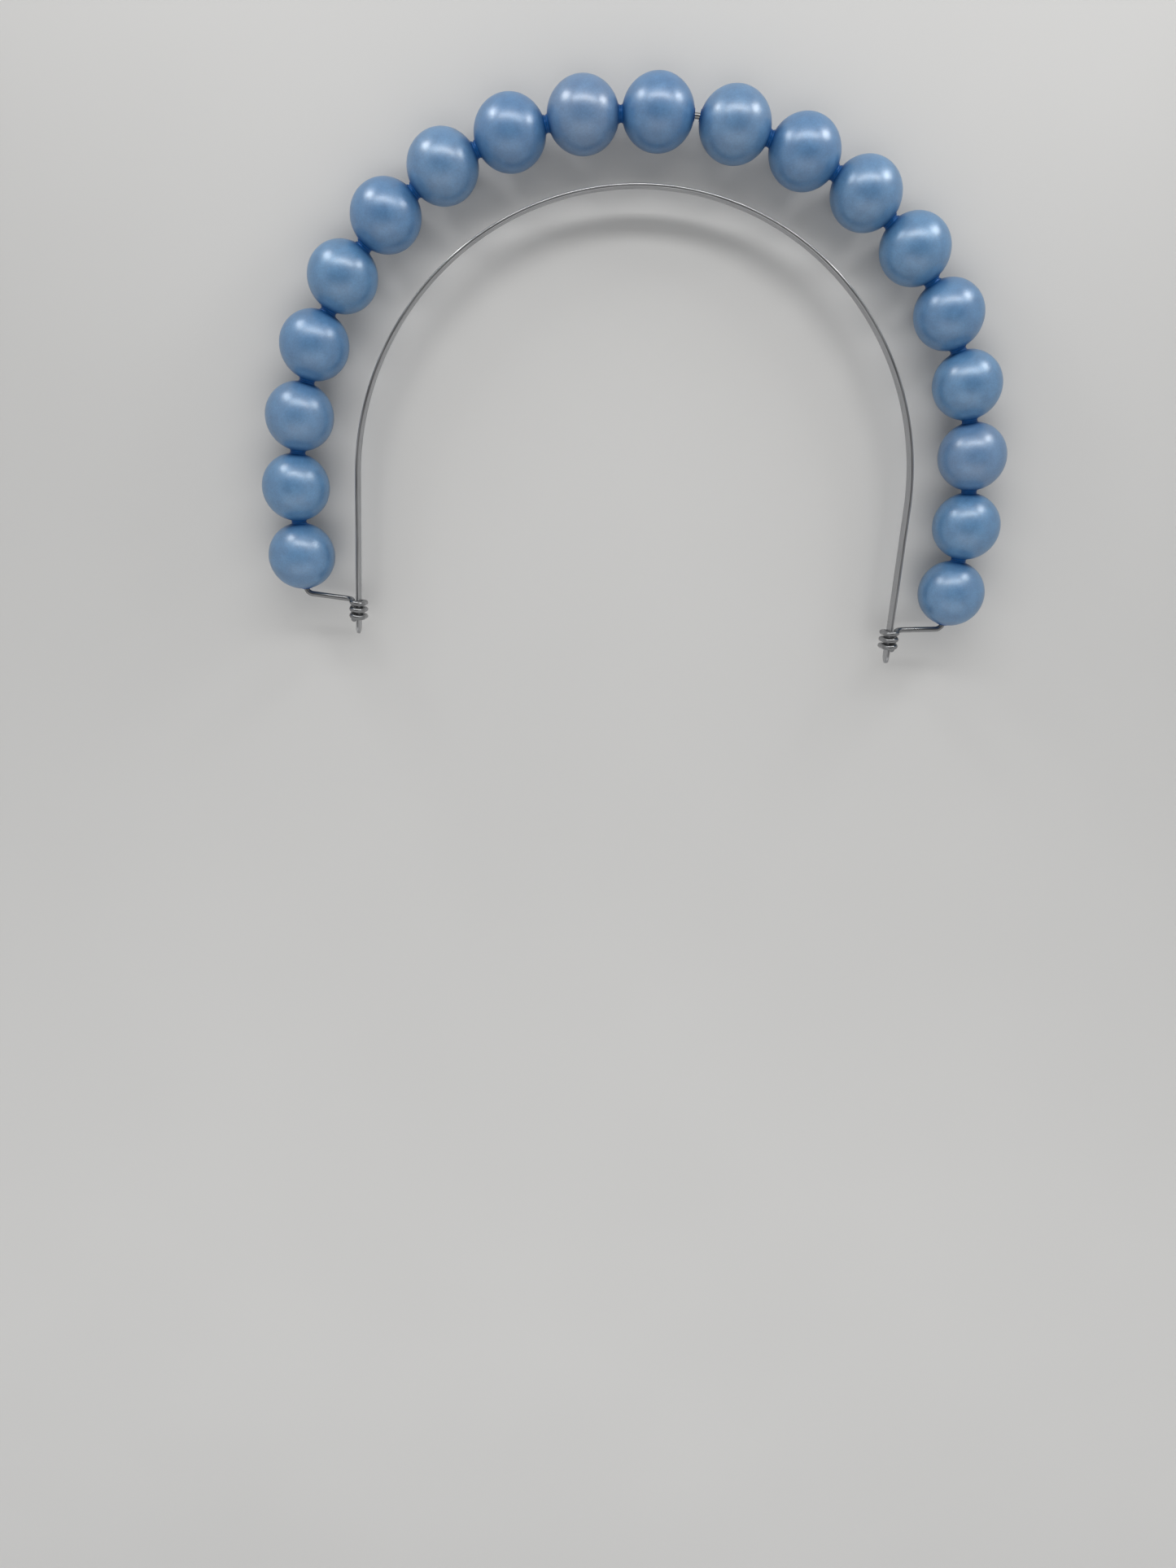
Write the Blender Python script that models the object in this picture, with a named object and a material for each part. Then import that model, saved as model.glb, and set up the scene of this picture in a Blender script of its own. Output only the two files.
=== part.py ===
"""Beaded halo headpiece.

Large pearl beads stand side by side in an arch on one bent steel wire. Below the last bead at each
side the wire turns in and is wound round the end of a plain steel headband, which lies concentric
inside the arch.

The piece lies on its back, as it rests on a table. +X runs from the left end to the right end as
seen from the front, +Y towards the crown, and +Z out of the front face. The beads touch the table
at Z = 0, and the wire and the band lie in the mid-plane of the beads.
"""

import math

import bmesh
import bpy
from mathutils import Vector

# Beads, in metres
BEAD_COUNT = 19
BEAD_DIAMETER = 0.0197
BORE_DIAMETER = 0.0028
BEAD_GAP = 0.0006
CROWN_SLACK = 0.0008
BEAD_SIDES = 16
BEAD_BANDS = 8

# Arch that the beads stand on: a circle, a little taller than wide and a little squared
ARCH_RADIUS = 0.1041
ARCH_TALLER = 0.0023
ARCH_SQUARED = 0.0014
ARCH_STEPS_PER_BEAD = 4

# Wire and its ends
WIRE_DIAMETER = 0.0016
WIRE_SIDES_LEVEL = 2
CORNER_DROP = 0.00145
CORNER_RADIUS = 0.0022
CORNER_STEPS = 5
LEG_SLOPE = 0.08
WINDING_TURNS = 3
WINDING_PITCH = 0.0021
WINDING_STEPS = 6
SEAT_GAP = 0.0003

# Headband: a strip bent to a half circle with straight legs and round tips
BAND_RADIUS = 0.0820
BAND_CENTRE_RISE = 0.0050
BAND_LEG_DROP = 0.0475
BAND_WIDTH = 0.0050
BAND_THICKNESS = 0.0010
BAND_STEPS = 41
TIP_STEPS = 4

# Materials: colour, roughness, metallic
PEARL_BLUE = ((0.110, 0.235, 0.480), 0.30, 0.35)
DRAWN_STEEL = ((0.42, 0.42, 0.43), 0.30, 1.0)
ROLLED_STEEL = ((0.60, 0.60, 0.61), 0.34, 1.0)

SMOOTH_ANGLE = math.radians(40.0)


def clear_scene():
    """Remove every object of the start-up scene."""
    for item in list(bpy.data.objects):
        bpy.data.objects.remove(item, do_unlink=True)


def make_material(name, finish):
    """Principled material from a colour, a roughness and a metallic value."""
    colour, roughness, metallic = finish
    material = bpy.data.materials.new(name)
    material.use_nodes = True
    shader = material.node_tree.nodes["Principled BSDF"]
    shader.inputs["Base Color"].default_value = (*colour, 1.0)
    shader.inputs["Roughness"].default_value = roughness
    shader.inputs["Metallic"].default_value = metallic
    material.diffuse_color = (*colour, 1.0)
    return material


def add_object(name, data, parent):
    """Put mesh or curve data into the scene as an object under the parent."""
    item = bpy.data.objects.new(name, data)
    bpy.context.scene.collection.objects.link(item)
    item.parent = parent
    return item


def arch_radius(angle):
    """Distance of the arch from its centre, at an angle from the crown."""
    taller = ARCH_TALLER * math.cos(2.0 * angle)
    squared = ARCH_SQUARED * math.cos(4.0 * angle)
    return ARCH_RADIUS + taller - squared


def arch_point(angle, lift=0.0):
    """Point of the arch in its own plane, moved outwards by the lift."""
    radius = arch_radius(angle) + lift
    return Vector((radius * math.sin(angle), radius * math.cos(angle), 0.0))


def arch_direction(angle):
    """Unit direction along the arch, clockwise from the crown as seen from the front."""
    step = 1.0e-4
    return (arch_point(angle + step) - arch_point(angle - step)).normalized()


def angle_one_chord_on(angle, chord):
    """Angle at which the arch is one straight chord further on."""
    start = arch_point(angle)
    step = chord / ARCH_RADIUS
    for _ in range(8):
        step *= chord / (arch_point(angle + step) - start).length
    return angle + step


def bead_angles():
    """Angles of the beads from left to right.

    The two halves mirror each other. The middle bead leans on its left neighbour, so the slack in
    the row shows as one wider gap to the right of the crown.
    """
    pitch = BEAD_DIAMETER + BEAD_GAP
    half_slack = 0.5 * CROWN_SLACK / arch_radius(0.0)
    right = [angle_one_chord_on(half_slack, pitch)]
    while len(right) < BEAD_COUNT // 2:
        right.append(angle_one_chord_on(right[-1], pitch))
    left = [-angle for angle in reversed(right)]
    return left + [-half_slack] + right


def wire_lift():
    """Outward shift of the wire that centres its bend within a straight bore."""
    half_bead = 0.5 * BEAD_DIAMETER
    return 0.25 * half_bead * half_bead / ARCH_RADIUS


def bead_mesh(material):
    """Drilled round bead about its own X axis: a profile spun through a full turn."""
    radius = 0.5 * BEAD_DIAMETER
    bore = 0.5 * BORE_DIAMETER
    rim = math.asin(bore / radius)
    build = bmesh.new()
    profile = []
    for i in range(BEAD_BANDS + 1):
        angle = rim + (math.pi - 2.0 * rim) * i / BEAD_BANDS
        place = (radius * math.cos(angle), 0.0, radius * math.sin(angle))
        profile.append(build.verts.new(place))
    edges = [build.edges.new(pair) for pair in zip(profile, profile[1:] + profile[:1])]
    bmesh.ops.spin(
        build,
        geom=profile + edges,
        cent=(0.0, 0.0, 0.0),
        axis=(1.0, 0.0, 0.0),
        angle=2.0 * math.pi,
        steps=BEAD_SIDES,
        use_merge=True,
    )
    bmesh.ops.remove_doubles(build, verts=build.verts, dist=1.0e-6)
    bmesh.ops.recalc_face_normals(build, faces=build.faces)
    mesh = bpy.data.meshes.new("drilled_bead")
    build.to_mesh(mesh)
    build.free()
    mesh.materials.append(material)
    mesh.shade_smooth()
    mesh.set_sharp_from_angle(angle=SMOOTH_ANGLE)
    return mesh


def add_beads(material, parent, centre):
    """One object for each bead, its bore along the arch."""
    mesh = bead_mesh(material)
    for number, angle in enumerate(bead_angles(), start=1):
        bead = add_object(f"bead_{number:02d}", mesh, parent)
        bead.location = centre + arch_point(angle)
        heading = arch_direction(angle)
        bead.rotation_euler = (0.0, 0.0, math.atan2(heading.y, heading.x))


def rounded_corner(corner, before, after):
    """Points of an arc that rounds the corner between two unit directions."""
    turn = before.angle(after)
    reach = CORNER_RADIUS * math.tan(0.5 * turn)
    start = corner - before * reach
    middle = start + (after - before * before.dot(after)).normalized() * CORNER_RADIUS
    inwards = (start - middle) / CORNER_RADIUS
    points = []
    for i in range(CORNER_STEPS + 1):
        angle = turn * i / CORNER_STEPS
        points.append(middle + (inwards * math.cos(angle) + before * math.sin(angle)) * CORNER_RADIUS)
    return points


def winding_points(leg_height):
    """Wire wound round the right leg of the band, from the front of the leg and downwards.

    Each half turn goes round one edge of the strip on a half circle. The drop is even along the
    length of the wire.
    """
    loop_radius = 0.5 * BAND_THICKNESS + SEAT_GAP + 0.5 * WIRE_DIAMETER
    half_flat = 0.5 * BAND_WIDTH
    half_turn = 2.0 * half_flat + math.pi * loop_radius
    drop = 0.5 * WINDING_PITCH / half_turn
    points = []
    for half in range(2 * WINDING_TURNS):
        side = 1.0 if half % 2 == 0 else -1.0
        for i in range(WINDING_STEPS + 1):
            angle = math.pi * i / WINDING_STEPS
            wound = half * half_turn + half_flat + loop_radius * angle
            points.append(
                Vector((
                    BAND_RADIUS + side * loop_radius * math.cos(angle),
                    leg_height - drop * wound,
                    side * (half_flat + loop_radius * math.sin(angle)),
                ))
            )
    tail = points[-1] + Vector((0.0, -drop * half_flat, half_flat))
    return points + [tail]


def right_half_of_wire():
    """Points of the wire from the crown to its right end."""
    last_bead = bead_angles()[-1]
    steps = ARCH_STEPS_PER_BEAD * (BEAD_COUNT // 2)
    lift = wire_lift()
    points = [arch_point(last_bead * i / steps, lift) for i in range(1, steps + 1)]
    down = arch_direction(last_bead)
    corner = points[-1] + down * (0.5 * BEAD_DIAMETER + CORNER_DROP)
    loop_radius = 0.5 * BAND_THICKNESS + SEAT_GAP + 0.5 * WIRE_DIAMETER
    leg_end_x = BAND_RADIUS + loop_radius
    leg_height = corner.y - LEG_SLOPE * (corner.x - leg_end_x)
    leg_end = Vector((leg_end_x, leg_height, 0.0))
    leg = (leg_end - corner).normalized()
    points += rounded_corner(corner, down, leg)
    points += rounded_corner(leg_end, leg, Vector((0.0, 0.0, 1.0)))
    points += winding_points(leg_height)
    return points


def add_wire(material, parent, centre):
    """The wire: one bevelled curve from one wound end over the crown to the other."""
    right = right_half_of_wire()
    crown = arch_point(0.0, wire_lift())
    left = [Vector((-point.x, point.y, point.z)) for point in reversed(right)]
    points = left + [crown] + right
    curve = bpy.data.curves.new("halo_wire", "CURVE")
    curve.dimensions = "3D"
    curve.twist_mode = "MINIMUM"
    spline = curve.splines.new("POLY")
    spline.points.add(len(points) - 1)
    for slot, point in zip(spline.points, points):
        slot.co = (*(centre + point), 1.0)
    spline.use_smooth = True
    curve.bevel_depth = 0.5 * WIRE_DIAMETER
    curve.bevel_resolution = WIRE_SIDES_LEVEL
    curve.use_fill_caps = True
    curve.materials.append(material)
    add_object("halo_wire", curve, parent)


def band_stations():
    """Places along the right half of the strip: point, outward direction and half width."""
    half_width = 0.5 * BAND_WIDTH
    middle = Vector((0.0, BAND_CENTRE_RISE, 0.0))
    stations = []
    for i in range(BAND_STEPS // 2 + 1):
        angle = math.pi * (i + 0.5) / BAND_STEPS
        outward = Vector((math.sin(angle), math.cos(angle), 0.0))
        stations.append((middle + outward * BAND_RADIUS, outward, half_width))
    outward = Vector((1.0, 0.0, 0.0))
    tip_start = BAND_CENTRE_RISE - BAND_LEG_DROP + half_width
    for i in range(TIP_STEPS):
        angle = 0.5 * math.pi * i / TIP_STEPS
        place = Vector((BAND_RADIUS, tip_start - half_width * math.sin(angle), 0.0))
        stations.append((place, outward, half_width * math.cos(angle)))
    return stations


def add_band(material, parent, centre):
    """The strip: a rectangle carried along the stations and closed at both tips."""
    right = band_stations()
    left = []
    for point, outward, half_width in reversed(right):
        flipped_point = Vector((-point.x, point.y, point.z))
        flipped_outward = Vector((-outward.x, outward.y, outward.z))
        left.append((flipped_point, flipped_outward, half_width))
    build = bmesh.new()
    rings = []
    half_thickness = 0.5 * BAND_THICKNESS
    for point, outward, half_width in left + right:
        up = Vector((0.0, 0.0, half_width))
        across = outward * half_thickness
        corners = (-across - up, across - up, across + up, -across + up)
        rings.append([build.verts.new(centre + point + corner) for corner in corners])
    for ring, following in zip(rings, rings[1:]):
        for i in range(4):
            j = (i + 1) % 4
            build.faces.new((ring[i], ring[j], following[j], following[i]))
    build.faces.new(rings[0])
    build.faces.new(rings[-1])
    bmesh.ops.recalc_face_normals(build, faces=build.faces)
    mesh = bpy.data.meshes.new("headband")
    build.to_mesh(mesh)
    build.free()
    mesh.materials.append(material)
    mesh.shade_smooth()
    mesh.set_sharp_from_angle(angle=SMOOTH_ANGLE)
    add_object("headband", mesh, parent)


def arch_centre():
    """Place of the arch's centre that puts the middle of the object's outline over the origin."""
    top = arch_radius(0.0) + 0.5 * BEAD_DIAMETER
    tip_round = math.sin(0.5 * math.pi * (TIP_STEPS - 1) / TIP_STEPS)
    bottom = BAND_CENTRE_RISE - BAND_LEG_DROP + 0.5 * BAND_WIDTH * (1.0 - tip_round)
    return Vector((0.0, -0.5 * (top + bottom), 0.5 * BEAD_DIAMETER))


def main():
    clear_scene()
    headpiece = add_object("headpiece", None, None)
    centre = arch_centre()
    add_beads(make_material("pearl_blue", PEARL_BLUE), headpiece, centre)
    add_wire(make_material("drawn_steel", DRAWN_STEEL), headpiece, centre)
    add_band(make_material("rolled_steel", ROLLED_STEEL), headpiece, centre)


main()
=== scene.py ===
"""Looks of a beaded halo headpiece, laid out as a Blender add-on.

Nineteen pearl-coated beads stand in an arch on a bent steel wire. The ends of the wire are wound
round the ends of a plain steel headband. The piece lies on its back on a pale floor, +Y towards the
crown and +Z out of its front. Lengths are in metres.
"""

import math

import bmesh
import bpy
import numpy as np
from bpy.props import FloatProperty, FloatVectorProperty, IntProperty, PointerProperty
from mathutils import Matrix, Vector


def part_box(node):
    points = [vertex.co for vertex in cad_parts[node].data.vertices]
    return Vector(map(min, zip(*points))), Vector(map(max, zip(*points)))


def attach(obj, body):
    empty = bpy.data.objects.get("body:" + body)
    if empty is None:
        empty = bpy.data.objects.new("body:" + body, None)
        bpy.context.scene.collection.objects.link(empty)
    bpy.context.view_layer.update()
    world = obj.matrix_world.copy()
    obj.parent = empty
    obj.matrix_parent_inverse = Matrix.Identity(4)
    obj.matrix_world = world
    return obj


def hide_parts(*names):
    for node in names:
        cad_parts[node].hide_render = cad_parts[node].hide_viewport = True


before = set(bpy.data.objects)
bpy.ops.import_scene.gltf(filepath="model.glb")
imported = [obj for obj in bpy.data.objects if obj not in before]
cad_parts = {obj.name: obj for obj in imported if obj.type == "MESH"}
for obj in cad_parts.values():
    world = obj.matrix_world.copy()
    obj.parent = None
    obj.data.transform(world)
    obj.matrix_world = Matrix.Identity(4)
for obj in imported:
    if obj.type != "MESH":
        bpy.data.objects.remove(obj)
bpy.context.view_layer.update()  # meshes of the imported model, set in world space

bl_info = {
    "name": "Beaded Halo Headpiece",
    "version": (1, 0, 0),
    "blender": (4, 5, 0),
    "location": "3D View > Sidebar > Halo",
    "description": "Adds a beaded halo headpiece: its beads, wire and headband, and a stage",
    "category": "Add Mesh",
}

MILLIMETRE = 0.001

# Sockets of a Mix node that mixes colours
FIRST = 6
SECOND = 7
MIXED = 2

# Arch that the beads stand on: a circle, a little taller than wide and a little squared
ARCH_RADIUS = 0.1041
ARCH_TALLER = 0.0023
ARCH_SQUARED = 0.0014

# Fall of the wire's inward leg for each metre across, and its clearance on the headband
LEG_SLOPE = 0.08
SEAT_GAP = 0.0003

# Line on the headband's flats that keeps its rounded edges from shading them
FLAT_MARGIN = 0.0002

# Beads closer than this are joined by a meniscus
TOUCHING_GAP = 0.001

# Points closer than this are one
SAME_POINT = 0.000001

# Edges that turn by more degrees than this are shaded sharp, as those of the wire's cut ends are
SHARP_TURN = 30.0

# Points along the arcs and lines that the outlines are made of
MENISCUS_POINTS = 10
RIM_POINTS = 6
BORE_POINTS = 6
HALF_ARCH_POINTS = 73
CORNER_POINTS = 13
LEG_POINTS = 14
HALF_TURN_POINTS = 17
TIP_POINTS = 13
EDGE_POINTS = 6
FLOOR_POINTS = 96

# Nodes of the beads, from the lowest on the left over the crown to the lowest on the right
BEAD_NODES = [f"bead_{number:02d}" for number in range(1, 20)]

# Share of the mauve lacquer in the greyer beads, and of the deep one in the bluer beads, by number
MAUVE_TONES = {1: 0.05, 3: 0.1, 7: 0.1, 9: 0.25, 11: 0.1, 13: 0.05, 17: 0.2, 19: 0.05}
DEEP_TONES = {4: 0.1, 6: 0.15, 8: 0.2, 10: 0.2, 12: 0.15, 15: 0.1}

# Power by which the painted navy shade round a bore thins out away from it
NECK_SHADE_FALL = 1.5

# Values of a noise between which the lacquer's clouds or the steel's lines change colour
CLOUD_SPAN = (0.35, 0.65)
LINE_SPAN = (0.35, 0.7)

# Values of a noise between which the gloss changes, and the change of roughness each way
GLOSS_SPAN = (0.3, 0.7)
LACQUER_CHANGE = 0.03
STEEL_CHANGE = 0.05

# Factor on the lacquer's colour in the darkest and in the brightest flake
FLAKE_LIGHT = (0.93, 1.07)

# Specular level of the even coat, and of the coat where navy shade is painted round the bores
COAT_LEVEL = 0.74
NECK_SHADE_LEVEL = 0.1

# Index of a coat of titania-coated mica in lacquer, which mirrors more than clear lacquer
PEARL_INDEX = 1.8

# Depth of the relief of flakes and lines in metres, and how much of it shows
RELIEF_DEPTH = 0.00001
FLAKE_RELIEF = 0.25
LINE_RELIEF = 0.3

# Length and width in millimetres that the steel's lines are drawn with
WIRE_LINE = (6.0, 0.12)
BAND_LINE = (14.0, 0.16)

# Handled places for each millimetre of steel, and clouds for each metre of paper
HANDLED_PLACES = 0.12
PAPER_CLOUDS = 9.0

# Roughness and specular level of matt paper
PAPER_ROUGHNESS = 0.9
PAPER_LEVEL = 0.2

# Height looked at, as a share of straight up, over which the walls give way to the ceiling
CEILING_SPAN = (0.65, 0.97)

# Camera at the photograph's angle: 27 mm lens, about 0.36 m in front of the plane of the arch
CAMERA_PLACE = (-0.01516, 0.00163, 0.37020)
CAMERA_AIM = (0.0179, -0.3294, -0.9440)
CAMERA_UP = (-0.0544, 0.9425, -0.3299)
CAMERA_LENS = 27.07
CAMERA_SENSOR = 36.0
CAMERA_CLIP_START = 0.01

# Lights: name, place, point aimed at, width, height, watts, spread in degrees, and whether it is
# mirrored. The bars give each bead its long highlight with a brighter spot at each end, and the
# panel the softer one below. The wash evens the floor, and leaves no highlight of its own.
LIGHTS = (
    ("front_bar", (0.0, 0.300, 0.285), (0.0, 0.03, 0.01), 0.50, 0.06, 0.85, 180.0, True),
    ("left_bar", (-0.285, 0.290, 0.110), (0.0, 0.02, 0.01), 0.08, 0.12, 0.118, 100.0, True),
    ("right_bar", (0.275, 0.270, 0.110), (0.0, 0.02, 0.01), 0.08, 0.12, 0.118, 100.0, True),
    ("low_panel", (0.02, -0.62, 0.76), (0.0, 0.0, 0.01), 1.30, 0.65, 1.22, 180.0, True),
    ("floor_wash", (0.06, -0.38, 0.56), (0.06, -0.38, 0.0), 1.70, 0.60, 1.50, 80.0, False),
)


def linear(code):
    """Linear RGBA of an sRGB hex colour."""
    channels = [int(code[i : i + 2], 16) / 255.0 for i in (1, 3, 5)]
    return [c / 12.92 if c <= 0.04045 else ((c + 0.055) / 1.055) ** 2.4 for c in channels] + [1.0]


def length_value(name, description, default):
    """Property for a length in metres."""
    return FloatProperty(
        name=name,
        description=description,
        default=default,
        min=0.0,
        precision=5,
        subtype="DISTANCE",
        unit="LENGTH",
    )


def count_value(name, description, default):
    """Property for a number of steps."""
    return IntProperty(name=name, description=description, default=default, min=3, max=400)


def share_value(name, description, default):
    """Property for a value between nought and one."""
    return FloatProperty(
        name=name,
        description=description,
        default=default,
        min=0.0,
        max=1.0,
        precision=3,
        subtype="FACTOR",
    )


def colour_value(name, description, code):
    """Property for a colour, its default given as an sRGB hex value."""
    return FloatVectorProperty(
        name=name,
        description=description,
        default=linear(code),
        size=4,
        min=0.0,
        max=1.0,
        subtype="COLOR",
    )


class BeadSettings(bpy.types.PropertyGroup):
    """Sizes and colours of the beads."""

    bore: length_value("Bore", "Diameter of the hole through a bead", 0.0028)
    meniscus: length_value("Meniscus", "Height of the lacquer between two beads", 0.00029)
    neck: length_value("Neck", "Radius of the meniscus where it is narrowest", 0.0022)
    collar: length_value("Collar", "Radius of the flat round an open bore", 0.00165)
    # Radius to which the painted navy shade round a bore spreads
    pool: length_value("Pool", "Radius to which the thick lacquer round a bore spreads", 0.0056)
    rim: length_value("Rim", "Radius of the soft edges of the meniscus and of the bore", 0.0001)
    around: count_value("Steps around", "Faces round a bead's axis", 96)
    along: count_value("Steps along", "Faces from one bore rim to the other", 60)
    mottle: length_value("Mottle", "Size of the clouds in the lacquer", 0.0035)
    flake: length_value("Flake", "Width that the pearl flakes are drawn with", 0.00035)
    lacquer: colour_value("Lacquer", "Pearl lacquer where it ran thicker", "#4d7aa5")
    light_lacquer: colour_value("Light lacquer", "Pearl lacquer where it is thin", "#5484b0")
    deep_lacquer: colour_value("Deep lacquer", "Lacquer of the bluer beads", "#2a5593")
    mauve_lacquer: colour_value("Mauve lacquer", "Lacquer of the greyer beads", "#6c7494")
    # Painted shade: navy colour round the bores, darkest where two beads meet
    neck_shade_colour: colour_value("Pooled lacquer", "Thick lacquer round the bores", "#145290")
    pearl_tint: colour_value("Pearl tint", "Colour of what the pearl layer mirrors", "#fbedcf")
    pearl: share_value("Pearl", "Share of the flakes that mirror in the lacquer's own colour", 0.17)
    satin: share_value("Satin", "Roughness of the pearl layer", 0.35)


class WireSettings(bpy.types.PropertyGroup):
    """Sizes and colours of the wire."""

    thickness: length_value("Thickness", "Diameter of the wire", 0.0016)
    drop: length_value("Corner drop", "Straight stretch from the last bead to the corner", 0.00145)
    bend: length_value("Bend", "Radius of the corner", 0.0022)
    pitch: length_value("Pitch", "Drop of the winding in one turn", 0.0021)
    turns: IntProperty(name="Turns", description="Turns round the headband's end", default=3, min=1)
    chamfer: length_value("Chamfer", "Chamfer of the cut ends", 0.00015)
    around: count_value("Steps around", "Faces round the wire", 24)
    steel: colour_value("Steel", "Bare drawn steel", "#a3a4a6")
    dark_steel: colour_value("Dark steel", "Lines that the die left", "#77787a")
    satin: share_value("Satin", "Roughness of the drawn surface", 0.30)


class BandSettings(bpy.types.PropertyGroup):
    """Sizes and colours of the headband."""

    radius: length_value("Radius", "Radius of the strip's middle line", 0.0820)
    rise: length_value("Rise", "Centre of the half circle above the centre of the arch", 0.0050)
    drop: length_value("Drop", "Length of the straight legs with their round tips", 0.0475)
    width: length_value("Width", "Width of the strip", 0.0050)
    thickness: length_value("Thickness", "Thickness of the strip", 0.0010)
    edge: length_value("Edge", "Rounding of the strip's long edges", 0.00035)
    stations: count_value("Stations", "Stations along the strip", 180)
    steel: colour_value("Steel", "Rolled steel strip", "#c2c3c5")
    dark_steel: colour_value("Dark steel", "Lines that the rolls left", "#96979a")
    satin: share_value("Satin", "Roughness of the rolled surface", 0.32)


class StageSettings(bpy.types.PropertyGroup):
    """Sizes and colours of the floor and the light."""

    floor_radius: length_value("Floor", "Radius of the floor", 2.5)
    floor_light: colour_value("Light paper", "Paler clouds of the floor's paper", "#c6c6c6")
    floor_dark: colour_value("Dark paper", "Darker clouds of the floor's paper", "#c1c1c1")
    walls: colour_value("Walls", "Light that comes from the pale walls all round", "#cacac9")
    ceiling: colour_value("Ceiling", "Light that comes from the darker ceiling", "#5a5a5a")
    light: colour_value("Light", "Colour of the studio lights", "#fffefc")
    brightness: FloatProperty(
        name="Brightness",
        description="Factor on every studio light",
        default=1.0,
        min=0.0,
    )


def add_node(tree, kind, settings=None, inputs=None):
    """Add a node, set its attributes, and give each input a value or another node's socket."""
    node = tree.nodes.new(kind)
    for key, value in (settings or {}).items():
        setattr(node, key, value)
    for key, value in (inputs or {}).items():
        if isinstance(value, bpy.types.NodeSocket):
            tree.links.new(value, node.inputs[key])
        else:
            node.inputs[key].default_value = value
    return node


def start_material(name):
    """New material and its node tree, emptied."""
    material = bpy.data.materials.new(name)
    material.use_nodes = True
    tree = material.node_tree
    tree.nodes.clear()
    return material, tree


def pearl_lacquer(beads):
    """Pearl lacquer: moulded ABS dipped in blue lacquer that is full of mica flakes.

    The flakes lie nearly flat in the coat, so the eye sees wide, soft, pale highlights over a
    satin blue. The coat clouds a little where it ran thicker. Round the bores the colour is a
    painted navy shade, darkest at the necks where two beads meet, and the coat there mirrors
    little.
    """
    material, tree = start_material("dipped_pearl_lacquer_on_moulded_abs")
    place = add_node(tree, "ShaderNodeTexCoord").outputs["Object"]
    clouds = add_node(
        tree,
        "ShaderNodeTexNoise",
        inputs={"Vector": place, "Scale": 1.0 / beads.mottle, "Detail": 3.0, "Roughness": 0.5},
    )
    cloud_share = add_node(
        tree,
        "ShaderNodeMapRange",
        inputs={
            "Value": clouds.outputs[0],
            "From Min": CLOUD_SPAN[0],
            "From Max": CLOUD_SPAN[1],
        },
    )
    # Real flakes are about 0.05 mm wide. They are drawn coarser, so that a picture holds them.
    flakes = add_node(
        tree,
        "ShaderNodeTexVoronoi",
        inputs={"Vector": place, "Scale": 1.0 / beads.flake, "Randomness": 1.0},
    )
    flake_share = add_node(tree, "ShaderNodeSeparateColor", inputs={0: flakes.outputs["Color"]})
    # The last attribute carries painted shade, navy round the bores where the beads meet
    mauve, deep, pool = (
        add_node(tree, "ShaderNodeAttribute", {"attribute_name": key}).outputs["Fac"]
        for key in ("mauve", "deep", "pool")
    )
    cloudy = add_node(
        tree,
        "ShaderNodeMix",
        {"data_type": "RGBA"},
        {
            "Factor": cloud_share.outputs[0],
            FIRST: tuple(beads.lacquer),
            SECOND: tuple(beads.light_lacquer),
        },
    )
    colour = cloudy.outputs[MIXED]
    # The last tone is painted shade: navy round the bores, where two beads meet
    tones = (
        (mauve, beads.mauve_lacquer),
        (deep, beads.deep_lacquer),
        (pool, beads.neck_shade_colour),
    )
    for share, tone in tones:
        toned = add_node(
            tree,
            "ShaderNodeMix",
            {"data_type": "RGBA"},
            {"Factor": share, FIRST: colour, SECOND: tuple(tone)},
        )
        colour = toned.outputs[MIXED]
    flake_light = add_node(
        tree,
        "ShaderNodeMapRange",
        inputs={
            "Value": flake_share.outputs[0],
            "To Min": FLAKE_LIGHT[0],
            "To Max": FLAKE_LIGHT[1],
        },
    )
    sparkling = add_node(
        tree,
        "ShaderNodeVectorMath",
        {"operation": "SCALE"},
        {0: colour, "Scale": flake_light.outputs[0]},
    )
    satin = add_node(
        tree,
        "ShaderNodeMapRange",
        inputs={
            "Value": clouds.outputs[0],
            "From Min": GLOSS_SPAN[0],
            "From Max": GLOSS_SPAN[1],
            "To Min": beads.satin - LACQUER_CHANGE,
            "To Max": beads.satin + LACQUER_CHANGE,
        },
    )
    # Where the navy shade is painted, the coat mirrors little
    mirroring = add_node(
        tree,
        "ShaderNodeMapRange",
        inputs={"Value": pool, "To Min": COAT_LEVEL, "To Max": NECK_SHADE_LEVEL},
    )
    relief = add_node(
        tree,
        "ShaderNodeBump",
        inputs={
            "Strength": FLAKE_RELIEF,
            "Distance": RELIEF_DEPTH,
            "Height": flake_share.outputs[1],
        },
    )
    shader = add_node(
        tree,
        "ShaderNodeBsdfPrincipled",
        inputs={
            "Base Color": sparkling.outputs[0],
            "Metallic": beads.pearl,
            "Roughness": satin.outputs[0],
            "IOR": PEARL_INDEX,
            "Specular IOR Level": mirroring.outputs[0],
            "Specular Tint": tuple(beads.pearl_tint),
            "Normal": relief.outputs[0],
        },
    )
    add_node(tree, "ShaderNodeOutputMaterial", inputs={"Surface": shader.outputs[0]})
    return material


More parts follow.
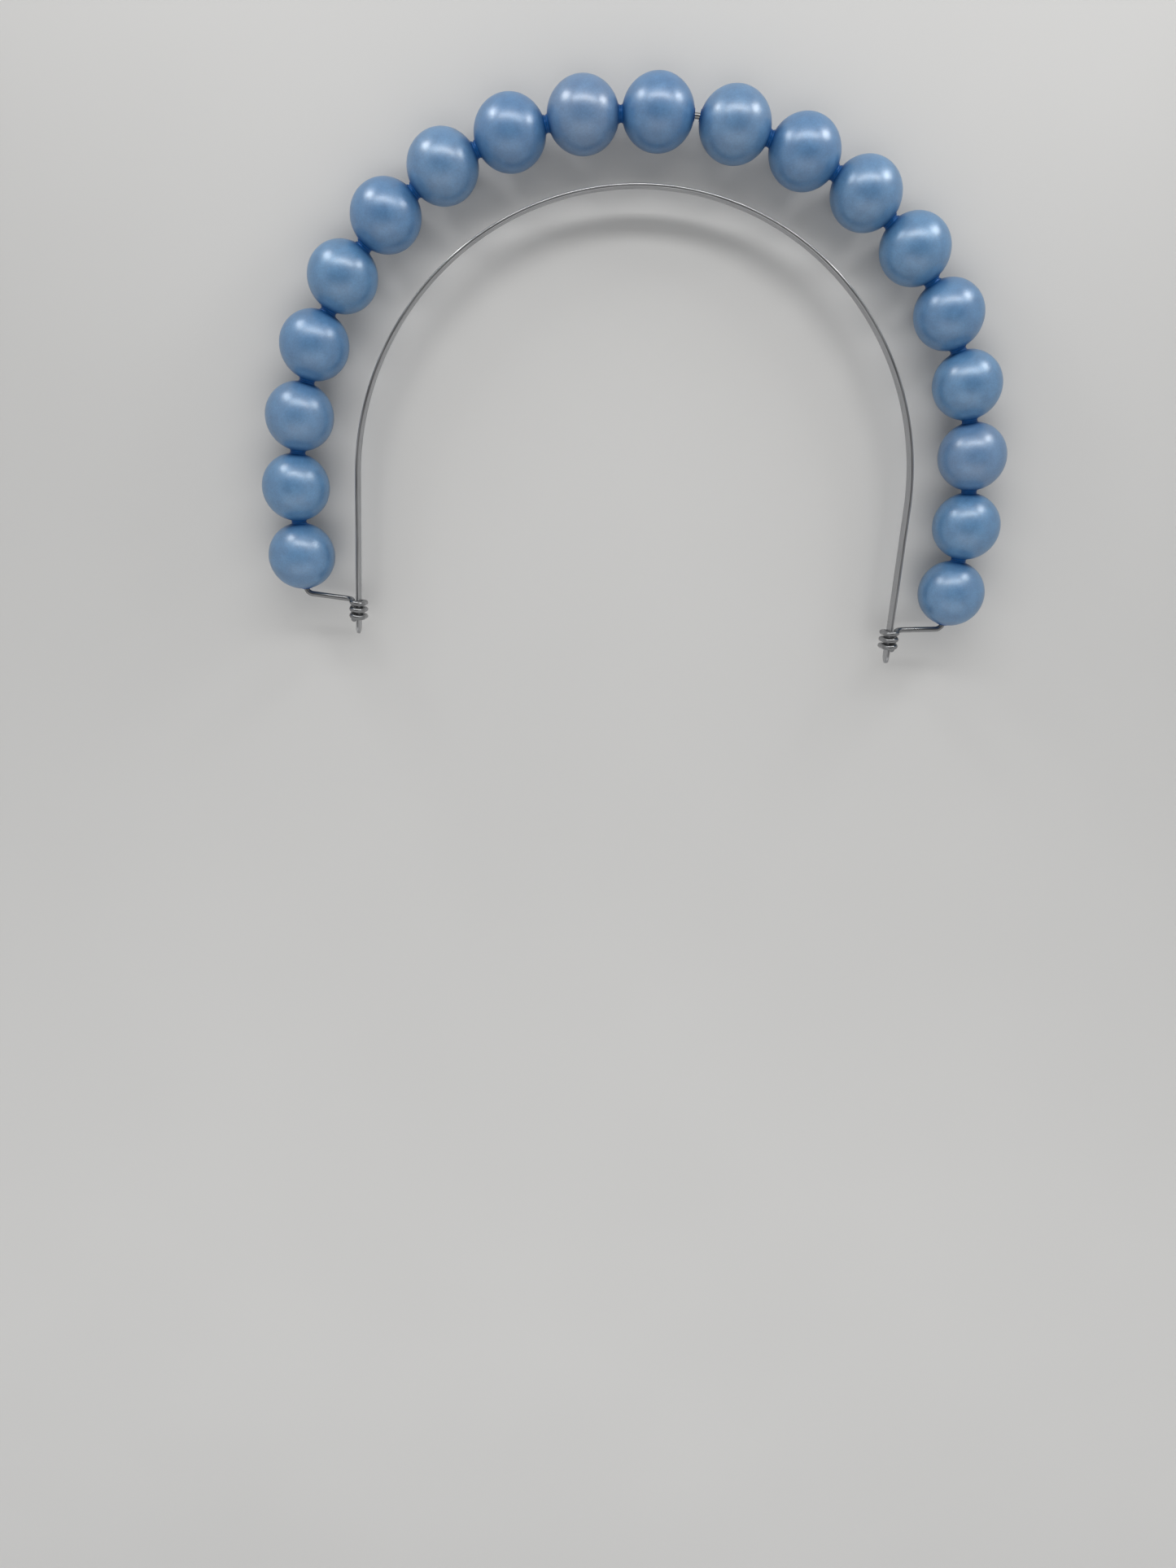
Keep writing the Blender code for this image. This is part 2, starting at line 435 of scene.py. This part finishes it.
def worked_steel(name, settings, line):
    """Bare steel with the fine lines that the die or the rolls left along it.

    The eye sees a grey satin metal that shines in streaks along its length, a little duller where
    it was handled. The pattern reads a UV map in millimetres. Real lines are some 0.02 mm apart.
    They are drawn coarser, as long and wide as the line given, so that a picture holds them.
    """
    line_length, line_width = line
    material, tree = start_material(name)
    uv = add_node(tree, "ShaderNodeUVMap", {"uv_map": "UVMap"}).outputs[0]
    drawn_out = add_node(
        tree,
        "ShaderNodeMapping",
        inputs={"Vector": uv, "Scale": (1.0 / line_length, 1.0 / line_width, 1.0)},
    )
    lines = add_node(
        tree,
        "ShaderNodeTexNoise",
        inputs={"Vector": drawn_out.outputs[0], "Scale": 1.0, "Detail": 4.0, "Roughness": 0.6},
    )
    handling = add_node(
        tree,
        "ShaderNodeTexNoise",
        inputs={"Vector": uv, "Scale": HANDLED_PLACES, "Detail": 2.0},
    )
    line_share = add_node(
        tree,
        "ShaderNodeMapRange",
        inputs={
            "Value": lines.outputs[0],
            "From Min": LINE_SPAN[0],
            "From Max": LINE_SPAN[1],
        },
    )
    colour = add_node(
        tree,
        "ShaderNodeMix",
        {"data_type": "RGBA"},
        {
            "Factor": line_share.outputs[0],
            FIRST: tuple(settings.dark_steel),
            SECOND: tuple(settings.steel),
        },
    )
    roughness = add_node(
        tree,
        "ShaderNodeMapRange",
        inputs={
            "Value": handling.outputs[0],
            "From Min": GLOSS_SPAN[0],
            "From Max": GLOSS_SPAN[1],
            "To Min": settings.satin - STEEL_CHANGE,
            "To Max": settings.satin + STEEL_CHANGE,
        },
    )
    relief = add_node(
        tree,
        "ShaderNodeBump",
        inputs={
            "Strength": LINE_RELIEF,
            "Distance": RELIEF_DEPTH,
            "Height": lines.outputs[0],
        },
    )
    shader = add_node(
        tree,
        "ShaderNodeBsdfPrincipled",
        inputs={
            "Base Color": colour.outputs[MIXED],
            "Metallic": 1.0,
            "Roughness": roughness.outputs[0],
            "Normal": relief.outputs[0],
        },
    )
    add_node(tree, "ShaderNodeOutputMaterial", inputs={"Surface": shader.outputs[0]})
    return material


def studio_paper(stage):
    """Matt paper, calendered without a gloss: pale and even, with soft clouds some 0.1 m wide."""
    material, tree = start_material("matt_studio_paper")
    place = add_node(tree, "ShaderNodeTexCoord").outputs["Object"]
    clouds = add_node(
        tree,
        "ShaderNodeTexNoise",
        inputs={"Vector": place, "Scale": PAPER_CLOUDS, "Detail": 2.0},
    )
    colour = add_node(
        tree,
        "ShaderNodeMix",
        {"data_type": "RGBA"},
        {
            "Factor": clouds.outputs[0],
            FIRST: tuple(stage.floor_dark),
            SECOND: tuple(stage.floor_light),
        },
    )
    shader = add_node(
        tree,
        "ShaderNodeBsdfPrincipled",
        inputs={
            "Base Color": colour.outputs[MIXED],
            "Roughness": PAPER_ROUGHNESS,
            "Specular IOR Level": PAPER_LEVEL,
        },
    )
    add_node(tree, "ShaderNodeOutputMaterial", inputs={"Surface": shader.outputs[0]})
    return material


def grid_faces(rows, columns, closed_rows):
    """Quads of a grid whose columns wrap round, and whose rows do too where they are closed."""
    count = rows if closed_rows else rows - 1
    row, column = np.meshgrid(np.arange(count), np.arange(columns), indexing="ij")
    next_row = (row + 1) % rows
    next_column = (column + 1) % columns
    corners = (
        row * columns + column,
        row * columns + next_column,
        next_row * columns + next_column,
        next_row * columns + column,
    )
    return np.stack(corners, axis=-1).reshape(-1, 4)


def grid_corner_uv(along, across):
    """UV of each corner of the grid's quads: its distances along the rows and across the columns.

    Both lists have one more entry than the grid has faces that way, so the seam has its own value.
    """
    row, column = np.meshgrid(np.arange(len(along) - 1), np.arange(len(across) - 1), indexing="ij")
    corners = ((row, column), (row, column + 1), (row + 1, column + 1), (row + 1, column))
    corner_uv = [np.stack([along[r], across[c]], axis=-1) for r, c in corners]
    return np.stack(corner_uv, axis=2).reshape(-1, 2)


def add_piece(name, points, faces, material, corner_uv=None, values=None):
    """Put a surface into the scene as a smooth mesh with its UV map and its point values.

    Points that fall together, where an end of the grid is drawn to a seam, are merged.
    """
    mesh = bpy.data.meshes.new(name)
    mesh.from_pydata(points.reshape(-1, 3).tolist(), [], faces)
    if corner_uv is not None:
        layer = mesh.uv_layers.new(name="UVMap")
        layer.data.foreach_set("uv", corner_uv.astype(np.float32).ravel())
    for key, numbers in (values or {}).items():
        attribute = mesh.attributes.new(key, "FLOAT", "POINT")
        attribute.data.foreach_set("value", numbers.astype(np.float32).ravel())
    shell = bmesh.new()
    shell.from_mesh(mesh)
    bmesh.ops.remove_doubles(shell, verts=shell.verts, dist=SAME_POINT)
    shell.to_mesh(mesh)
    shell.free()
    mesh.materials.append(material)
    mesh.shade_smooth()
    mesh.update()
    piece = bpy.data.objects.new(name, mesh)
    bpy.context.scene.collection.objects.link(piece)
    return piece


def seat(piece, node):
    """Let the piece stand for its CAD node, which is hidden, and ride on the root body."""
    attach(piece, "root")
    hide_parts(node)


def unit(vectors):
    """Vectors divided by their lengths."""
    return vectors / np.linalg.norm(vectors, axis=-1, keepdims=True)


def arch_radius(angle):
    """Distance from the arch's centre at an angle from the crown: a circle with two small waves."""
    return ARCH_RADIUS + ARCH_TALLER * np.cos(2.0 * angle) - ARCH_SQUARED * np.cos(4.0 * angle)


def arch_points(angle, lift):
    """Points of the arch about its centre, moved outwards by the lift."""
    radius = arch_radius(angle) + lift
    return np.stack([radius * np.sin(angle), radius * np.cos(angle), np.zeros_like(angle)], axis=-1)


def arch_heading(angle):
    """Unit direction of the arch, clockwise from the crown: the derivative of its points."""
    radius = arch_radius(angle)
    change = -2.0 * ARCH_TALLER * np.sin(2.0 * angle) + 4.0 * ARCH_SQUARED * np.sin(4.0 * angle)
    along_x = change * np.sin(angle) + radius * np.cos(angle)
    along_y = change * np.cos(angle) - radius * np.sin(angle)
    return unit(np.stack([along_x, along_y, np.zeros_like(angle)], axis=-1))


def bead_places():
    """Centre of each bead, from the box of its node, and the beads' radius."""
    boxes = [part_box(node) for node in BEAD_NODES]
    centres = np.array([0.5 * (low + high) for low, high in boxes])
    radius = 0.5 * (boxes[0][1].z - boxes[0][0].z)
    return centres, radius


def arch_centre():
    """Centre of the arch: under the middle bead by the arch's height at the crown."""
    centres, _ = bead_places()
    middle = centres[len(centres) // 2]
    return np.array([0.0, middle[1] - float(arch_radius(0.0)), middle[2]])


def bead_angles():
    """Angle of each bead from the crown, seen from the arch's centre."""
    centres, _ = bead_places()
    offset = centres - arch_centre()
    return np.arctan2(offset[:, 0], offset[:, 1])


def bead_half_profile(radius, beads, touching):
    """Half of a drilled bead's profile: distances along its axis and away from it, and the lean.

    It runs from the widest point over the sphere and through the meniscus, an arc that leaves the
    sphere without a kink and ends along the axis at the neck. Then come the soft edge of the flat,
    the soft rim of the bore, and the bore to its middle. The arc's centre is level with the flat's
    soft edge, and its radius follows from its touching the sphere. An end that meets no other bead
    has only a low collar round the bore. The lean is nought where the axis is the bore's and one
    where it points to the next bead's centre, as it does all over the meniscus.
    """
    bore = 0.5 * beads.bore
    rim = beads.rim
    neck = beads.neck if touching else beads.collar
    mouth = radius - rim
    level = mouth + (beads.meniscus if touching else 0.0)
    fillet = (neck**2 + level**2 - radius**2) / (2.0 * (radius - neck))
    foot = math.atan2(neck + fillet, level)
    over = np.linspace(0.5 * math.pi, foot, beads.along // 2)
    curl = np.linspace(foot, 0.5 * math.pi, MENISCUS_POINTS)[1:]
    turn = np.linspace(0.0, 0.5 * math.pi, RIM_POINTS)
    bore_along = np.linspace(mouth, 0.0, BORE_POINTS)[1:]
    along = np.concatenate([
        radius * np.cos(over),
        level - fillet * np.cos(curl),
        level + rim * np.sin(turn[1:]),
        mouth + rim * np.cos(turn),
        bore_along,
    ])
    away = np.concatenate([
        radius * np.sin(over),
        neck + fillet - fillet * np.sin(curl),
        neck - rim + rim * np.cos(turn[1:]),
        bore + rim - rim * np.sin(turn),
        np.full_like(bore_along, bore),
    ])
    lean = np.zeros_like(along)
    lean[: len(over)] = np.linspace(0.0, 1.0, len(over))
    lean[len(over) : len(over) + len(curl) + len(turn) - 1] = 1.0
    return along, away, lean


def bead_surface(centre, axes, radius, beads, touching):
    """A drilled bead: rings of points square to an axis that leans from one end to the other.

    A point is the centre, plus the ring's axis times its distance along, plus the turned outward
    direction times its distance away. The axes are the direction from the bead before, the bore's,
    and the direction to the bead ahead, and the lean mixes the bore's with either other one. The
    share of painted navy shade falls from one at the neck to nought.
    """
    back, bore, ahead = axes
    along, away, lean = bead_half_profile(radius, beads, touching[1])
    other_half = bead_half_profile(radius, beads, touching[0])
    back_along, back_away, back_lean = [values[-2:0:-1] for values in other_half]
    axis = np.concatenate([
        bore + lean[:, None] * (ahead - bore),
        bore + back_lean[:, None] * (back - bore),
    ])
    axis = unit(axis)[:, None, :]
    along = np.concatenate([along, -back_along])[:, None, None]
    away = np.concatenate([away, back_away])
    turn = np.linspace(0.0, 2.0 * math.pi, beads.around, endpoint=False)[None, :, None]
    up = np.array([0.0, 0.0, 1.0])
    outward = np.cos(turn) * np.cross(up, axis) + np.sin(turn) * up
    points = centre + along * axis + away[:, None, None] * outward
    # Share of the painted navy shade, one at the neck where two beads meet
    pool = np.clip((beads.pool - away) / (beads.pool - beads.neck), 0.0, 1.0) ** NECK_SHADE_FALL
    return points, np.repeat(pool[:, None], beads.around, axis=1)


def bead_neighbours(centres, headings, radius):
    """Each bead's three axes, and whether another bead stands right behind it and right ahead.

    Where none does, the bore's axis stands in for the direction to it.
    """
    steps = np.diff(centres, axis=0)
    near = np.linalg.norm(steps, axis=1) - 2.0 * radius < TOUCHING_GAP
    behind = np.concatenate([[False], near])
    in_front = np.concatenate([near, [False]])
    back = np.where(behind[:, None], np.vstack([headings[:1], unit(steps)]), headings)
    ahead = np.where(in_front[:, None], np.vstack([unit(steps), headings[-1:]]), headings)
    return np.stack([back, headings, ahead], axis=1), np.stack([behind, in_front], axis=1)


def wire_bend(corner, before, after, radius):
    """Arc that rounds a corner between two unit directions, as points from one to the other.

    It starts before the corner by the radius times the tangent of half the turn.
    """
    turn = math.acos(float(np.dot(before, after)))
    start = corner - before * radius * math.tan(0.5 * turn)
    inward = unit(after - before * np.dot(before, after))
    middle = start + inward * radius
    angle = np.linspace(0.0, turn, CORNER_POINTS)[:, None]
    return middle - inward * radius * np.cos(angle) + before * radius * np.sin(angle)


def winding_radius(wire, band):
    """Radius of the wire's middle line where it turns round an edge of the strip."""
    return 0.5 * band.thickness + SEAT_GAP + 0.5 * wire.thickness


def wire_winding(wire, band, height):
    """Winding on the right leg of the band: half circles round its front and back edge in turn.

    The height falls evenly with the length of wire wound on.
    """
    loop = winding_radius(wire, band)
    half_flat = 0.5 * band.width
    half_turn = 2.0 * half_flat + math.pi * loop
    slope = 0.5 * wire.pitch / half_turn
    half_circle = np.linspace(0.0, math.pi, HALF_TURN_POINTS)
    half, angle = np.meshgrid(np.arange(2 * wire.turns), half_circle, indexing="ij")
    side = 1.0 - 2.0 * (half % 2)
    wound = half * half_turn + half_flat + loop * angle
    along_x = band.radius + side * loop * np.cos(angle)
    along_z = side * (half_flat + loop * np.sin(angle))
    points = np.stack([along_x, height - slope * wound, along_z], axis=-1).reshape(-1, 3)
    tail = points[-1] + np.array([0.0, -slope * half_flat, half_flat])
    return np.vstack([points, tail])


def wire_line(wire, band, bead_radius):
    """Middle line of the wire from its left end to its right end, and how far its frame is turned.

    It follows the arch through the beads, lifted by half the arch's rise over one bead, so that it
    keeps to the middle of the straight bores. It turns in below the last bead, crosses to the band
    and winds round its leg. The left half is the right half mirrored. The turn is nought where the
    line lies in the plane of the arch and one where it winds.
    """
    last = float(bead_angles()[-1])
    rise = 0.5 * bead_radius**2 / ARCH_RADIUS
    arch = arch_points(np.linspace(0.0, last, HALF_ARCH_POINTS), 0.5 * rise)
    down = arch_heading(np.array(last))
    corner = arch[-1] + down * (bead_radius + wire.drop)
    end_x = band.radius + winding_radius(wire, band)
    end = np.array([end_x, corner[1] - LEG_SLOPE * (corner[0] - end_x), 0.0])
    inwards = unit(end - corner)
    first_bend = wire_bend(corner, down, inwards, wire.bend)
    second_bend = wire_bend(end, inwards, np.array([0.0, 0.0, 1.0]), wire.bend)
    share = np.linspace(0.0, 1.0, LEG_POINTS)[1:-1, None]
    leg = first_bend[-1] * (1.0 - share) + second_bend[0] * share
    winding = wire_winding(wire, band, end[1])
    right = np.vstack([arch, first_bend, leg, second_bend, winding])
    turned = np.concatenate([
        np.zeros(len(arch) + len(first_bend)),
        share[:, 0],
        np.ones(len(second_bend) + len(winding)),
    ])
    left = right[:0:-1] * np.array([-1.0, 1.0, 1.0])
    return np.vstack([left, right]), np.concatenate([turned[:0:-1], turned])


def tube_surface(line, turned, wire):
    """A round rod along a line, its cut ends broken by a small chamfer.

    The rings stand square to the line. Their side direction is the line's direction crossed with
    Z, or with Y where the frame is turned, so the rod never twists.
    """
    reach = unit(line[1] - line[0]) * wire.chamfer
    reach_back = unit(line[-1] - line[-2]) * wire.chamfer
    middle = np.vstack([line[0], line[0] + reach, line[1:-1], line[-1] - reach_back, line[-1]])
    turned = np.concatenate([turned[:1], turned, turned[-1:]])
    radius = np.full(len(middle), 0.5 * wire.thickness)
    radius[[0, -1]] -= wire.chamfer
    length = np.concatenate([[0.0], np.cumsum(np.linalg.norm(np.diff(middle, axis=0), axis=1))])
    ahead = unit(np.gradient(middle, length, axis=0))
    quarter = 0.5 * math.pi * turned
    reference = np.stack([np.zeros_like(quarter), np.sin(quarter), np.cos(quarter)], axis=-1)
    side = unit(np.cross(reference, ahead))
    above = np.cross(ahead, side)
    turn = np.linspace(0.0, 2.0 * math.pi, wire.around, endpoint=False)[None, :, None]
    ring = np.cos(turn) * side[:, None, :] + np.sin(turn) * above[:, None, :]
    points = middle[:, None, :] + radius[:, None, None] * ring
    across = np.linspace(0.0, math.pi * wire.thickness, wire.around + 1)
    return points, length, across


def capped_tube_faces(rows, columns):
    """Quads of a tube and one face across each of its cut ends."""
    quads = grid_faces(rows, columns, closed_rows=False).tolist()
    first = list(range(columns - 1, -1, -1))
    last = list(range((rows - 1) * columns, rows * columns))
    return quads + [first, last]


def band_outline(band):
    """Front edge of the unrolled strip: distance along, half width, and the edge's outward normal.

    The edge is straight, with a quarter circle of half the width at each tip, so a point lies half
    the width along the normal from the strip's middle line.
    """
    half_width = 0.5 * band.width
    quarter = 0.5 * math.pi * band.radius
    straight = quarter + band.drop - half_width
    tip = np.linspace(0.0, 0.5 * math.pi, TIP_POINTS)
    run = np.linspace(-straight, straight, band.stations)[1:-1]
    middle = np.concatenate([np.full_like(tip, -straight), run, np.full_like(tip, straight)])
    normal_along = np.concatenate([-np.sin(tip)[::-1], np.zeros_like(run), np.sin(tip)])
    normal_across = np.concatenate([np.cos(tip)[::-1], np.ones_like(run), np.cos(tip)])
    along = middle + half_width * normal_along
    return along, half_width * normal_across, normal_along, normal_across


def band_profile(band):
    """Round the strip's section: the inset from the edge, the place in the thickness, and the side.

    Each long edge is rounded by two quarter circles. A line just inside them keeps the flats flat.
    """
    edge = band.edge
    half = 0.5 * band.thickness
    turn = np.linspace(0.0, 0.5 * math.pi, EDGE_POINTS)
    inner_line = [edge + FLAT_MARGIN]
    from_flat = edge * (1.0 - np.sin(turn))
    towards_edge = edge * (1.0 - np.cos(turn))
    inset = np.concatenate([inner_line, from_flat, towards_edge, inner_line])
    depth = np.concatenate([[half], half - towards_edge, -half + from_flat, [-half]])
    side = np.concatenate([np.ones_like(inset), -np.ones_like(inset)])
    return np.concatenate([inset, inset]), np.concatenate([depth, -depth]), side


def band_surface(band, centre):
    """The strip: its rounded section carried along the unrolled outline and bent to shape.

    A point that is s along and t out in the unrolled strip goes to the angle s over the radius on
    a circle of the radius plus t, and past the half circle straight down the leg.
    """
    along, half, normal_along, normal_across = band_outline(band)
    inset, depth, side = band_profile(band)
    flat_along = along[:, None] - inset[None, :] * normal_along[:, None]
    flat_across = side[None, :] * (half[:, None] - inset[None, :] * normal_across[:, None])
    quarter = 0.5 * math.pi * band.radius
    bent = np.clip(flat_along, -quarter, quarter)
    angle = bent / band.radius
    reach = band.radius + depth[None, :]
    along_x = reach * np.sin(angle)
    along_y = reach * np.cos(angle) + band.rise - np.abs(flat_along - bent)
    points = np.stack([along_x, along_y, flat_across], axis=-1)
    section = np.stack([side * (0.5 * band.width - inset), depth], axis=-1)
    steps = np.linalg.norm(np.diff(np.vstack([section, section[:1]]), axis=0), axis=1)
    return centre + points, along, np.concatenate([[0.0], np.cumsum(steps)])


class HALO_OT_beads(bpy.types.Operator):
    """Add the nineteen drilled beads, each in place of its node"""

    bl_idname = "halo.beads"
    bl_label = "Beads"

    def execute(self, context):
        beads = context.scene.halo_beads
        material = pearl_lacquer(beads)
        centres, radius = bead_places()
        axes, touching = bead_neighbours(centres, arch_heading(bead_angles()), radius)
        for number, node in enumerate(BEAD_NODES, start=1):
            place = number - 1
            points, pool = bead_surface(centres[place], axes[place], radius, beads, touching[place])
            rows, columns = points.shape[:2]
            faces = grid_faces(rows, columns, closed_rows=True).tolist()
            # Tones of the bead, and the share of painted navy shade round its bores
            values = {
                "mauve": np.full(rows * columns, MAUVE_TONES.get(number, 0.0)),
                "deep": np.full(rows * columns, DEEP_TONES.get(number, 0.0)),
                "pool": pool,
            }
            piece = add_piece(f"pearl_{number:02d}", points, faces, material, values=values)
            seat(piece, node)
        return {"FINISHED"}


class HALO_OT_wire(bpy.types.Operator):
    """Add the bent wire with its wound ends"""

    bl_idname = "halo.wire"
    bl_label = "Wire"

    def execute(self, context):
        wire = context.scene.halo_wire
        band = context.scene.halo_band
        _, bead_radius = bead_places()
        line, turned = wire_line(wire, band, bead_radius)
        line = line + arch_centre()
        points, length, across = tube_surface(line, turned, wire)
        rows, columns = points.shape[:2]
        faces = capped_tube_faces(rows, columns)
        corner_uv = grid_corner_uv(length / MILLIMETRE, across / MILLIMETRE)
        cap_uv = np.stack([np.full(columns, length[0]), across[:-1]], axis=-1) / MILLIMETRE
        corner_uv = np.vstack([corner_uv, cap_uv, cap_uv])
        material = worked_steel("drawn_steel_wire", wire, WIRE_LINE)
        piece = add_piece("wire", points, faces, material, corner_uv)
        piece.data.set_sharp_from_angle(angle=math.radians(SHARP_TURN))
        seat(piece, "halo_wire")
        return {"FINISHED"}


class HALO_OT_band(bpy.types.Operator):
    """Add the plain steel headband"""

    bl_idname = "halo.band"
    bl_label = "Headband"

    def execute(self, context):
        band = context.scene.halo_band
        points, length, across = band_surface(band, arch_centre())
        rows, columns = points.shape[:2]
        faces = grid_faces(rows, columns, closed_rows=False).tolist()
        corner_uv = grid_corner_uv(length / MILLIMETRE, across / MILLIMETRE)
        material = worked_steel("rolled_steel_strip", band, BAND_LINE)
        piece = add_piece("band", points, faces, material, corner_uv)
        seat(piece, "headband")
        return {"FINISHED"}


class HALO_OT_stage(bpy.types.Operator):
    """Add the pale floor, the soft lights and the camera"""

    bl_idname = "halo.stage"
    bl_label = "Stage"

    def execute(self, context):
        stage = context.scene.halo_stage
        add_floor(stage)
        add_air(stage, context.scene)
        add_lights(stage)
        add_camera(context.scene)
        context.scene.view_settings.view_transform = "Standard"
        return {"FINISHED"}


def add_floor(stage):
    """Round floor under the piece: one ring of points about the origin, closed by one face."""
    turn = np.linspace(0.0, 2.0 * math.pi, FLOOR_POINTS, endpoint=False)
    ring = np.stack([np.cos(turn), np.sin(turn), np.zeros_like(turn)], axis=-1)
    points = stage.floor_radius * ring
    floor = add_piece("floor", points, [list(range(len(turn)))], studio_paper(stage))


def add_air(stage, scene):
    """Even light from pale walls all round, and less from the ceiling, blended by height."""
    world = bpy.data.worlds.new("studio_air")
    world.use_nodes = True
    tree = world.node_tree
    tree.nodes.clear()
    direction = add_node(tree, "ShaderNodeTexCoord").outputs["Generated"]
    height = add_node(tree, "ShaderNodeSeparateXYZ", inputs={0: direction}).outputs[2]
    ceiling_share = add_node(
        tree,
        "ShaderNodeMapRange",
        {"interpolation_type": "SMOOTHSTEP"},
        {"Value": height, "From Min": CEILING_SPAN[0], "From Max": CEILING_SPAN[1]},
    )
    colour = add_node(
        tree,
        "ShaderNodeMix",
        {"data_type": "RGBA"},
        {
            "Factor": ceiling_share.outputs[0],
            FIRST: tuple(stage.walls),
            SECOND: tuple(stage.ceiling),
        },
    )
    air = add_node(tree, "ShaderNodeBackground", inputs={"Color": colour.outputs[MIXED]})
    add_node(tree, "ShaderNodeOutputWorld", inputs={"Surface": air.outputs[0]})
    scene.world = world


def add_lights(stage):
    """Area lights that are not seen themselves, and that the piece mirrors where they say so."""
    for name, place, aim, width, height, watts, spread, mirrored in LIGHTS:
        light = bpy.data.lights.new(name, "AREA")
        light.shape = "RECTANGLE"
        light.size = width
        light.size_y = height
        light.energy = watts * stage.brightness
        light.spread = math.radians(spread)
        light.color = tuple(stage.light)[:3]
        lamp = bpy.data.objects.new(name, light)
        lamp.location = place
        lamp.rotation_euler = (Vector(aim) - Vector(place)).to_track_quat("-Z", "Y").to_euler()
        lamp.visible_camera = False
        lamp.visible_glossy = mirrored
        bpy.context.scene.collection.objects.link(lamp)


def add_camera(scene):
    """Camera at the photograph's angle to the piece."""
    ahead = Vector(CAMERA_AIM).normalized()
    right = ahead.cross(Vector(CAMERA_UP)).normalized()
    up = right.cross(ahead)
    camera = bpy.data.objects.new("camera", bpy.data.cameras.new("camera"))
    camera.data.lens = CAMERA_LENS
    camera.data.sensor_width = CAMERA_SENSOR
    camera.data.clip_start = CAMERA_CLIP_START
    turn = Matrix((right, up, -ahead)).transposed().to_4x4()
    camera.matrix_world = Matrix.Translation(CAMERA_PLACE) @ turn
    scene.collection.objects.link(camera)
    scene.camera = camera


# Operators in the order that they run in, and the settings of each on the scene
OPERATORS = (HALO_OT_beads, HALO_OT_wire, HALO_OT_band, HALO_OT_stage)
GROUPS = {
    "halo_beads": BeadSettings,
    "halo_wire": WireSettings,
    "halo_band": BandSettings,
    "halo_stage": StageSettings,
}


class HALO_PT_panel(bpy.types.Panel):
    """Buttons and settings of the headpiece"""

    bl_idname = "HALO_PT_panel"
    bl_label = "Beaded Halo Headpiece"
    bl_space_type = "VIEW_3D"
    bl_region_type = "UI"
    bl_category = "Halo"

    def draw(self, context):
        for operator, group in zip(OPERATORS, GROUPS):
            box = self.layout.box()
            box.operator(operator.bl_idname)
            settings = getattr(context.scene, group)
            for key in settings.bl_rna.properties.keys():
                if key not in ("rna_type", "name"):
                    box.prop(settings, key)


CLASSES = (*GROUPS.values(), *OPERATORS, HALO_PT_panel)


def register():
    """Register the classes and put their settings on the scene."""
    for item in CLASSES:
        bpy.utils.register_class(item)
    for key, group in GROUPS.items():
        setattr(bpy.types.Scene, key, PointerProperty(type=group))


def unregister():
    """Take the settings off the scene and unregister the classes."""
    for key in GROUPS:
        delattr(bpy.types.Scene, key)
    for item in reversed(CLASSES):
        bpy.utils.unregister_class(item)


def main():
    """Build the dressed headpiece on its stage."""
    register()
    bpy.ops.halo.beads()
    bpy.ops.halo.wire()
    bpy.ops.halo.band()
    bpy.ops.halo.stage()


if __name__ == "__main__":
    main()
